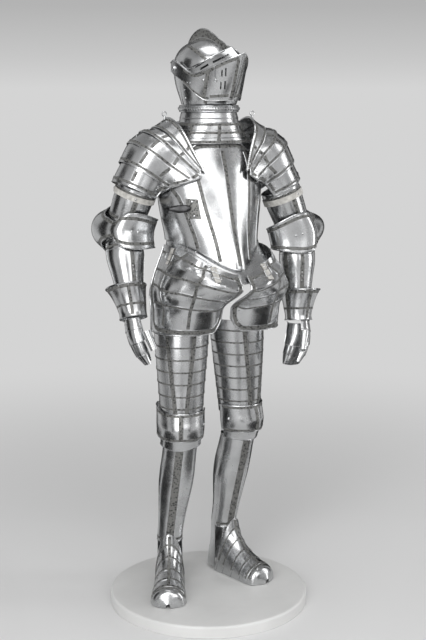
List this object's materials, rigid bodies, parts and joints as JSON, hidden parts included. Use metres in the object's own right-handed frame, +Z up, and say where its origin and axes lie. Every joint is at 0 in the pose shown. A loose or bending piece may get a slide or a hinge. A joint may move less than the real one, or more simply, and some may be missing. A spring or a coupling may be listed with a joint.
{
  "type": "suit of plate armour on a round stand",
  "caption": "Full suit of plate field armour with close helmet, long tassets and lance rest, standing in its worn form on a smooth round plinth.",
  "frame": {"origin": "centre of the plinth's flat underside", "axes": "+Z up, the suit faces -Y, the wearer's left is +X"},
  "size_m": [0.7639, 0.636, 1.8168],
  "materials": {
    "steel": "polished",
    "etched": "etched",
    "leather": "whitened buff",
    "paint": "painted"
  },
  "bodies": {
    "suit": {"plinth": "paint", "breastplate": "steel", "backplate": "steel", "fauld": "steel", "culet": "steel", "gorget_plate": "steel", "neck_lames": "steel", "pauldron_1_right": "steel", "pauldron_2_right": "steel", "pauldron_3_right": "steel", "pauldron_4_right": "steel", "pauldron_5_right": "steel", "pauldron_1_left": "steel", "pauldron_2_left": "steel", "pauldron_3_left": "steel", "pauldron_4_left": "steel", "pauldron_5_left": "steel", "upper_cannon_right": "steel", "arm_strap_right": "leather", "couter_right": "steel", "lower_cannon_right": "steel", "gauntlet_cuff_right": "steel", "hand_lames_right": "steel", "finger_lames_right": "steel", "thumb_lames_right": "steel", "upper_cannon_left": "steel", "arm_strap_left": "leather", "couter_left": "steel", "lower_cannon_left": "steel", "gauntlet_cuff_left": "steel", "hand_lames_left": "steel", "finger_lames_left": "steel", "thumb_lames_left": "steel", "tasset_right": "steel", "tasset_left": "steel", "cuisse_right": "steel", "poleyn_right": "steel", "knee_lame_right": "steel", "greave_front_right": "steel", "greave_back_right": "steel", "sabaton_lames_right": "steel", "toe_cap_right": "steel", "cuisse_left": "steel", "poleyn_left": "steel", "knee_lame_left": "steel", "greave_front_left": "steel", "greave_back_left": "steel", "sabaton_lames_left": "steel", "toe_cap_left": "steel", "lance_bracket": "etched", "turning_pin_right": "steel", "turning_pin_left": "steel"},
    "helmet": {"helmet_rim": "steel", "helmet_skull": "steel", "lower_bevor": "steel"},
    "upper_bevor_body": {"upper_bevor": "steel", "pivot_bolt_right": "steel", "pivot_bolt_left": "steel"},
    "visor_body": {"visor": "steel"},
    "lance_arm": {"lance_rest_arm": "steel"}
  },
  "joints": [
    {"name": "helmet_turn", "type": "hinge", "parent": "suit", "child": "helmet", "pos_m": [0.02, 0.04, 1.587], "axis": [0, 0, 1], "range_deg": [-60, 60]},
    {"name": "bevor_pivot", "type": "hinge", "parent": "helmet", "child": "upper_bevor_body", "pos_m": [0.01392, 0.07447, 1.698], "axis": [-0.9848, -0.1736, 0], "range_deg": [0, 50]},
    {"name": "visor_pivot", "type": "hinge", "parent": "upper_bevor_body", "child": "visor_body", "pos_m": [0.01392, 0.07447, 1.698], "axis": [-0.9848, -0.1736, 0], "range_deg": [0, 50]},
    {"name": "lance_rest_fold", "type": "hinge", "parent": "suit", "child": "lance_arm", "pos_m": [-0.10199, -0.07892, 1.284], "axis": [-0.4226, 0.9063, 0], "range_deg": [0, 60]}
  ]
}
